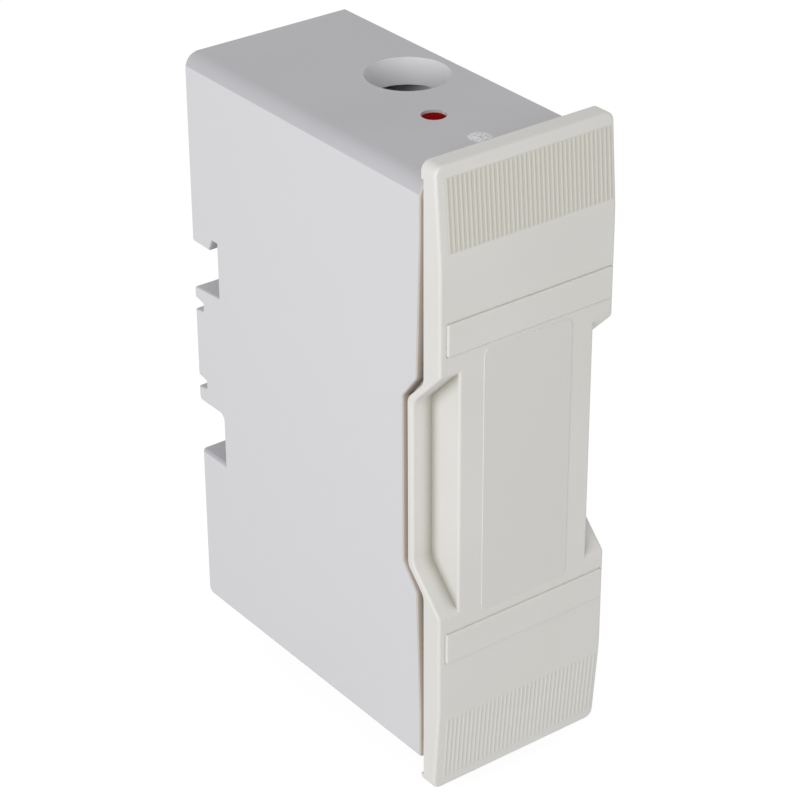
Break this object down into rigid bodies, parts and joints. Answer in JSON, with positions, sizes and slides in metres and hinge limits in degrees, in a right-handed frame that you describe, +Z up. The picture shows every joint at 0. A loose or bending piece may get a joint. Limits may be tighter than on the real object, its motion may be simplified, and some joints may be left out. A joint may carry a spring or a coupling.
{
  "type": "din rail fuse holder",
  "caption": "Rail-mounted fuse holder: deep moulded base with cable clamps and an indicator lens, and a pull-out front carrier that holds a cylindrical fuse link with offset blades.",
  "frame": {"origin": "middle of the rail slot: mid width, on the face that the rail's lips rest on, at the height of the rail's centreline", "axes": "+X to the right of someone who faces the holder, +Y from the front towards the rail, +Z up"},
  "size_m": [0.0312, 0.0631, 0.102],
  "materials": {
    "base_plastic": "fine satin moulding",
    "carrier_plastic": "fine satin moulding",
    "lens_plastic": "polished, transparent red",
    "lamp_glass": "clear drawn tube",
    "resistor_coat": "dipped coat",
    "tinned_wire": "tinned copper",
    "tinned_copper": "tinned copper strip",
    "spring_steel": "rolled",
    "zinc_steel": "zinc plated",
    "latch_plastic": "dry moulding",
    "fuse_ceramic": "unglazed ceramic",
    "silvered_copper": "silver plated",
    "element_silver": "bare strip",
    "quartz_sand": "packed grains"
  },
  "bodies": {
    "base": {"base_housing": "base_plastic", "terminal_shroud_top": "base_plastic", "terminal_shroud_bottom": "base_plastic", "contact_top": "tinned_copper", "contact_bottom": "tinned_copper", "jaw_spring_top": "spring_steel", "jaw_spring_bottom": "spring_steel", "contact_screws": "zinc_steel", "indicator_lens": "lens_plastic", "indicator_lamp": "lamp_glass", "indicator_resistor": "resistor_coat", "indicator_leads": "tinned_wire", "rail_latch_spring": "spring_steel"},
    "carrier": {"carrier_moulding": "carrier_plastic", "fuse_retaining_clips": "spring_steel", "fuse_barrel": "fuse_ceramic", "fuse_cap_top": "silvered_copper", "fuse_cap_bottom": "silvered_copper", "fuse_blade_top": "silvered_copper", "fuse_blade_bottom": "silvered_copper", "fuse_element": "element_silver", "fuse_filler": "quartz_sand"},
    "terminal_screw_top": {"terminal_screw_top": "zinc_steel"},
    "terminal_screw_bottom": {"terminal_screw_bottom": "zinc_steel"},
    "terminal_cage_top": {"terminal_cage_top": "zinc_steel"},
    "terminal_cage_bottom": {"terminal_cage_bottom": "zinc_steel"},
    "rail_latch": {"rail_latch": "latch_plastic"}
  },
  "joints": [
    {"name": "carrier_slide", "type": "slide", "parent": "base", "child": "carrier", "axis": [0, -1, 0], "range_m": [0, 0.045]},
    {"name": "terminal_screw_top_turn", "type": "hinge", "parent": "base", "child": "terminal_screw_top", "pos_m": [0.0067, -0.0332, 0.0299], "axis": [0, 1, 0], "range_deg": [0, 2160]},
    {"name": "terminal_screw_bottom_turn", "type": "hinge", "parent": "base", "child": "terminal_screw_bottom", "pos_m": [0.0067, -0.0332, -0.0311], "axis": [0, 1, 0], "range_deg": [0, 2160]},
    {"name": "terminal_cage_top_slide", "type": "slide", "parent": "base", "child": "terminal_cage_top", "axis": [0, -1, 0], "range_m": [0, 0.006]},
    {"name": "terminal_cage_bottom_slide", "type": "slide", "parent": "base", "child": "terminal_cage_bottom", "axis": [0, -1, 0], "range_m": [0, 0.006]},
    {"name": "rail_latch_slide", "type": "slide", "parent": "base", "child": "rail_latch", "axis": [0, 0, -1], "range_m": [0, 0.003], "stiffness_N_per_m": 1500, "springref_m": -0.002, "deforming": ["rail_latch_spring"]}
  ],
  "couplings": [
    {"joint": "terminal_screw_top_turn", "follows": "terminal_cage_top_slide", "rad_per_m": 6283.2},
    {"joint": "terminal_screw_bottom_turn", "follows": "terminal_cage_bottom_slide", "rad_per_m": 6283.2}
  ]
}
